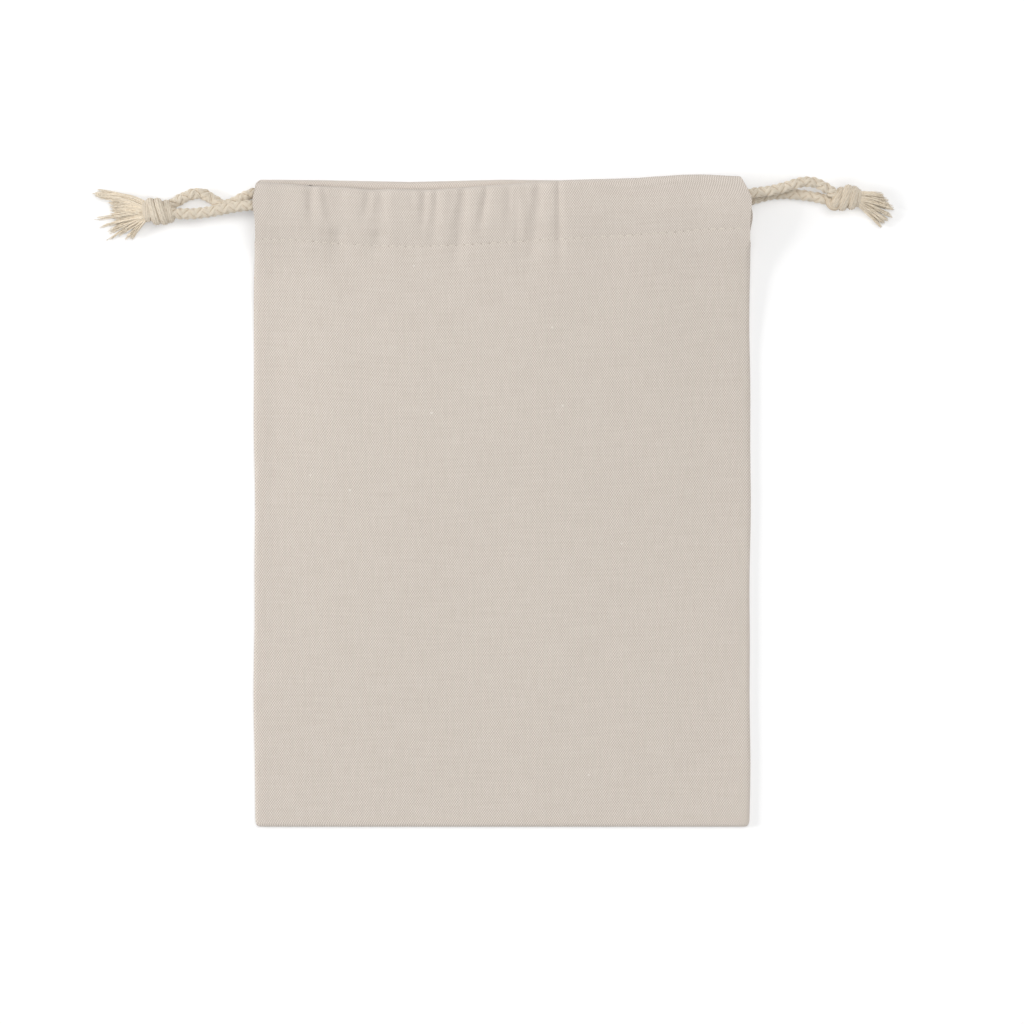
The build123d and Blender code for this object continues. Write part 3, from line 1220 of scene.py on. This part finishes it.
# ------------------------------------------------------------------------------- the studio
@dataclass
class Studio:
    """Pale floor, soft light and a camera straight above the sack."""

    height: float = 3.0
    lens: float = 261.4
    middle: tuple[float, float] = (0.00394, -0.00343)
    horizon: float = 1.0
    zenith: float = 0.33
    floor_half: float = 3000.0
    floor_level: float = -0.02

    def build(self) -> None:
        """Makes the floor, the lights, the world and the camera."""
        scene = bpy.context.scene
        half = self.floor_half
        loom = Loom("studio_floor")
        loom.lay(1, 1, lambda column, row: ((2 * column - 1) * half, (2 * row - 1) * half, self.floor_level),
                 lambda column, row: (column, row))
        floor = loom.finish()
        paint = Nodes("floor_paint")
        paint.shader.inputs["Base Color"].default_value = (0.72, 0.72, 0.72, 1)
        paint.shader.inputs["Emission Color"].default_value = (1.0, 1.0, 1.0, 1)
        paint.shader.inputs["Emission Strength"].default_value = 0.26
        paint.shader.inputs["Roughness"].default_value = 0.9
        paint.shader.inputs["Specular IOR Level"].default_value = 0.0
        floor.data.materials.append(paint.material)
        world = bpy.data.worlds.new("studio_world")
        scene.world = world
        world.use_nodes = True
        world.node_tree.nodes["Background"].inputs[0].default_value = (1.0, 1.0, 1.0, 1)
        tree = world.node_tree
        around, split = tree.nodes.new("ShaderNodeTexCoord"), tree.nodes.new("ShaderNodeSeparateXYZ")
        haze = tree.nodes.new("ShaderNodeMapRange")
        haze.interpolation_type = "SMOOTHSTEP"
        for name, value in (("From Min", 0.06), ("From Max", 0.30),
                            ("To Min", self.horizon), ("To Max", self.zenith)):
            haze.inputs[name].default_value = value
        tree.links.new(around.outputs["Generated"], split.inputs[0])
        tree.links.new(split.outputs["Z"], haze.inputs["Value"])
        tree.links.new(haze.outputs["Result"], tree.nodes["Background"].inputs["Strength"])
        self.lamp("key", (-2.3, 0.12, 1.2), 0.6, 31.0)
        self.lamp("fill", (0.45, 0.55, 2.6), 2.2, 48.5)
        lens = bpy.data.cameras.new("camera")
        lens.lens = self.lens
        lens.sensor_width = 36.0
        lens.clip_end = 30.0
        camera = bpy.data.objects.new("camera", lens)
        camera.location = (*self.middle, self.height)
        scene.collection.objects.link(camera)
        scene.camera = camera
        scene.view_settings.view_transform = "Standard"

    def lamp(self, name: str, spot: Point, size: float, power: float) -> None:
        """A square soft light aimed at the sack.

        Args:
            name: The light's name.
            spot: Where it stands, in metres.
            size: Its side, in metres.
            power: Its power in watts.
        """
        light = bpy.data.lights.new(name, "AREA")
        light.size = size
        light.energy = power
        holder = bpy.data.objects.new(name, light)
        holder.location = spot
        holder.rotation_euler = (-Vector(spot)).to_track_quat("-Z", "Y").to_euler()
        bpy.context.scene.collection.objects.link(holder)


def dress(piece: bpy.types.Object, material: bpy.types.Material, slot: str, *nodes: str) -> bpy.types.Object:
    """Gives a piece its material, hides the CAD nodes that it replaces and logs its face count.

    Args:
        piece: The finished piece.
        material: Its material.
        slot: Not used.
        *nodes: The CAD nodes that it replaces.

    Returns:
        The piece.
    """
    piece.data.materials.append(material)
    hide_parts(*nodes)
    log.info("%s: %d faces", piece.name, len(piece.data.polygons))
    return piece


def build_sack(sack: SackCloth) -> None:
    """Makes both layers, the stitch rows and the seams.

    Args:
        sack: The sack's cloth.
    """
    twill = TwillFinish().make("cotton_twill")
    thread = YarnFinish((0.56, 0.50, 0.42), (0.80, 0.75, 0.67), lines=3.0).make("sewing_thread")
    for lip in Lip:
        hems = [f"{side.word}_{lip.value}_slit_hem" for side in Side]
        cloth = dress(sack.sheet(lip), twill, "cloth", f"{lip.value}_panel", f"{lip.value}_casing", *hems)
        sack.gather(cloth)
        stitching = dress(sack.stitches(lip), thread, "thread", f"{lip.value}_casing_stitching")
        sack.gather(stitching)
    for side in Side:
        sack.gather(dress(sack.side_seam(side), twill, "cloth", f"{side.word}_side_seam"))
    sack.gather(dress(sack.foot_seam(), twill, "cloth", "foot_seam"))


def left_cord(sack: SackCloth) -> Drawcord:
    """The cord that hangs out of the left side.

    Args:
        sack: The sack that it runs through.

    Returns:
        The cord.
    """
    return Drawcord(
        Side.LEFT, sack, (118.7, 126.0),
        front_end=[(0.4, -9.8, 8.9), (7.6, -10.6, 8.3), (14.6, -12.0, 7.9), (21.6, -13.2, 7.3),
                   (28.4, -13.5, 6.9), (34.6, -13.0, 6.6)],
        back_end=[(1.0, -4.8, 2.8), (7.2, -8.2, 2.7), (12.4, -10.4, 2.65), (16.6, -7.4, 2.7),
                  (21.4, -4.6, 2.9), (27.4, -5.8, 3.4), (34.0, -10.0, 4.1)],
        knot_at=(-138.6, 117.6, 5.35),
        wraps=[(-4.6, 2.7, 1.85, -0.20), (-2.0, 3.5, 2.05, -0.42), (1.0, 3.6, 2.1, -0.46),
               (3.9, 2.8, 1.95, -0.34)],
        locks=[(23.2, 8.6, 1.5, 0.35, 46), (25.2, 7.3, 2.0, 0.45, 66), (24.2, 6.2, 2.0, 0.4, 66),
               (19.4, 3.7, 1.2, 0.7, 60), (18.6, 1.6, 0.6, 1.1, 70), (18.4, -1.4, 0.3, 1.1, 70),
               (17.4, -4.4, -0.2, 1.0, 66), (24.6, -3.0, 0.0, 0.35, 9), (23.2, -6.0, 0.1, 0.35, 9),
               (19.6, -7.6, -0.2, 0.7, 30), (19.8, -11.2, -0.2, 0.3, 10), (15.2, -8.6, -0.3, 0.6, 40),
               (12.6, -10.2, -0.4, 0.45, 22), (11.4, -11.2, -0.3, 0.35, 14)],
        hearts=[(13.0, 1.6, 3.2), (9.0, -4.0, 2.6)],
        root=3.7,
        fullness=1.16)


def right_cord(sack: SackCloth) -> Drawcord:
    """The cord that hangs out of the right side.

    Args:
        sack: The sack that it runs through.

    Returns:
        The cord.
    """
    return Drawcord(
        Side.RIGHT, sack, (122.9, 121.4),
        front_end=[(0.4, -5.0, 8.9), (7.4, -4.4, 8.6), (14.2, -2.6, 8.4), (21.8, -0.1, 8.0),
                   (28.6, -1.4, 7.4), (34.4, -5.8, 6.9)],
        back_end=[(0.2, -7.8, 2.75), (6.8, -5.6, 2.5), (13.8, -5.0, 2.4), (21.0, -5.6, 2.5),
                  (28.0, -6.8, 3.1), (34.4, -8.6, 4.0)],
        knot_at=(138.3, 123.1, 5.35),
        wraps=[(-3.4, 2.7, 1.9, 0.50), (-0.3, 3.4, 2.05, 0.34), (2.7, 3.1, 1.95, 0.16),
               (4.6, 2.2, 1.5, 0.05)],
        locks=[(14.8, 1.0, 0.9, 0.5, 60), (16.4, -0.8, 0.7, 0.5, 60), (18.6, -4.0, 0.3, 0.45, 60),
               (16.8, -2.6, 0.4, 0.55, 50), (18.0, -7.0, 0.2, 0.45, 60), (16.6, -8.8, 0.0, 0.4, 54),
               (15.0, -9.4, -0.1, 0.4, 54), (13.8, -10.8, -0.2, 0.35, 44)],
        hearts=[(10.4, -2.0, 3.3), (9.6, -4.6, 2.8)],
        root=3.1)


def main() -> None:
    """Builds the sack, its cords and the studio."""
    logging.basicConfig(level=logging.INFO, format="%(message)s")
    low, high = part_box("back_panel")
    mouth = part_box("back_casing")[1][1] / MM
    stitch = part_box("back_casing")[0][1] / MM
    sack = SackCloth(half_width=high[0] / MM, foot=low[1] / MM, mouth=mouth, stitch=stitch)
    build_sack(sack)
    finishes = CordFinishes.make()
    for cord in (left_cord(sack), right_cord(sack)):
        cord.build(finishes)
    Studio().build()


if __name__ == "__main__":
    main()
